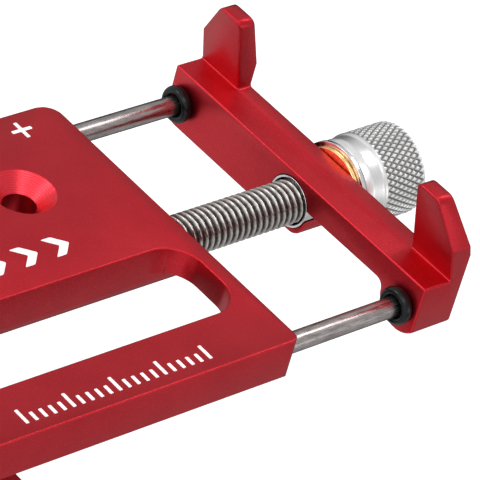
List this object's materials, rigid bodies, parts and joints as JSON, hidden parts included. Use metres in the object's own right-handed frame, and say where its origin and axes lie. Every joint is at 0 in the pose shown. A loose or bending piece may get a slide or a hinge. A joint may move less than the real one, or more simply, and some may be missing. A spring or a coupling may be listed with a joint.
{
  "type": "phone handlebar mount",
  "caption": "Aluminium phone holder with a screw-driven clawed jaw on guide rods, swivelling on a split, rubber-lined handlebar clamp.",
  "frame": {"origin": "centre of the handlebar bore", "axes": "+X along the bore and the jaw's opening direction, +Z out of the phone rest, +Y to the back of the holder"},
  "size_m": [0.0955, 0.0638, 0.0651],
  "materials": {
    "red_anodised": "bead-blasted red anodised aluminium, satin",
    "rod_steel": "ground bright steel",
    "screw_steel": "rolled thread, plain steel",
    "bright_steel": "bright zinc-plated steel",
    "black_steel": "black oxide steel",
    "knob_aluminium": "clear anodised, knurled",
    "washer_brass": "turned brass",
    "o_ring_rubber": "glossy black nitrile",
    "liner_rubber": "matt black rubber"
  },
  "bodies": {
    "clamp": {"clamp_saddle": "red_anodised", "saddle_liner": "liner_rubber", "swivel_screw": "bright_steel", "swivel_washer": "liner_rubber"},
    "cap": {"clamp_cap": "red_anodised", "cap_liner": "liner_rubber", "bolt_washer_front": "bright_steel", "bolt_washer_back": "bright_steel"},
    "bolt_front": {"clamp_bolt_front": "black_steel"},
    "bolt_back": {"clamp_bolt_back": "black_steel"},
    "holder": {"base_plate": "red_anodised"},
    "jaw": {"moving_jaw": "red_anodised", "guide_rod_front": "rod_steel", "guide_rod_back": "rod_steel", "o_ring_front": "o_ring_rubber", "o_ring_back": "o_ring_rubber", "screw_sleeve": "bright_steel", "brass_washer": "washer_brass"},
    "screw": {"lead_screw": "screw_steel", "retaining_clip": "black_steel", "steel_washer": "bright_steel", "thumb_knob": "knob_aluminium", "knob_grub": "black_steel"}
  },
  "joints": [
    {"name": "clamp_swivel", "type": "hinge", "parent": "clamp", "child": "holder", "pos_m": [0, 0, 0.0326], "axis": [0, 0, 1], "range_deg": [-180, 180]},
    {"name": "jaw_slide", "type": "slide", "parent": "holder", "child": "jaw", "axis": [1, 0, 0], "range_m": [-0.0189, 0.0212]},
    {"name": "screw_turn", "type": "hinge", "parent": "jaw", "child": "screw", "pos_m": [0.06465, -0.0118, 0.0288], "axis": [1, 0, 0], "range_deg": [-6805, 7633]},
    {"name": "cap_slide", "type": "slide", "parent": "clamp", "child": "cap", "axis": [0, 0, -1], "range_m": [0, 0.003]},
    {"name": "bolt_front_turn", "type": "hinge", "parent": "cap", "child": "bolt_front", "pos_m": [0, -0.0218, -0.008], "axis": [0, 0, -1], "range_deg": [0, 1351]},
    {"name": "bolt_back_turn", "type": "hinge", "parent": "cap", "child": "bolt_back", "pos_m": [0, 0.0218, -0.008], "axis": [0, 0, -1], "range_deg": [0, 1351]}
  ],
  "couplings": [
    {"joint": "screw_turn", "follows": "jaw_slide", "rad_per_m": 6283.2},
    {"joint": "bolt_front_turn", "follows": "cap_slide", "rad_per_m": 7854},
    {"joint": "bolt_back_turn", "follows": "cap_slide", "rad_per_m": 7854}
  ]
}
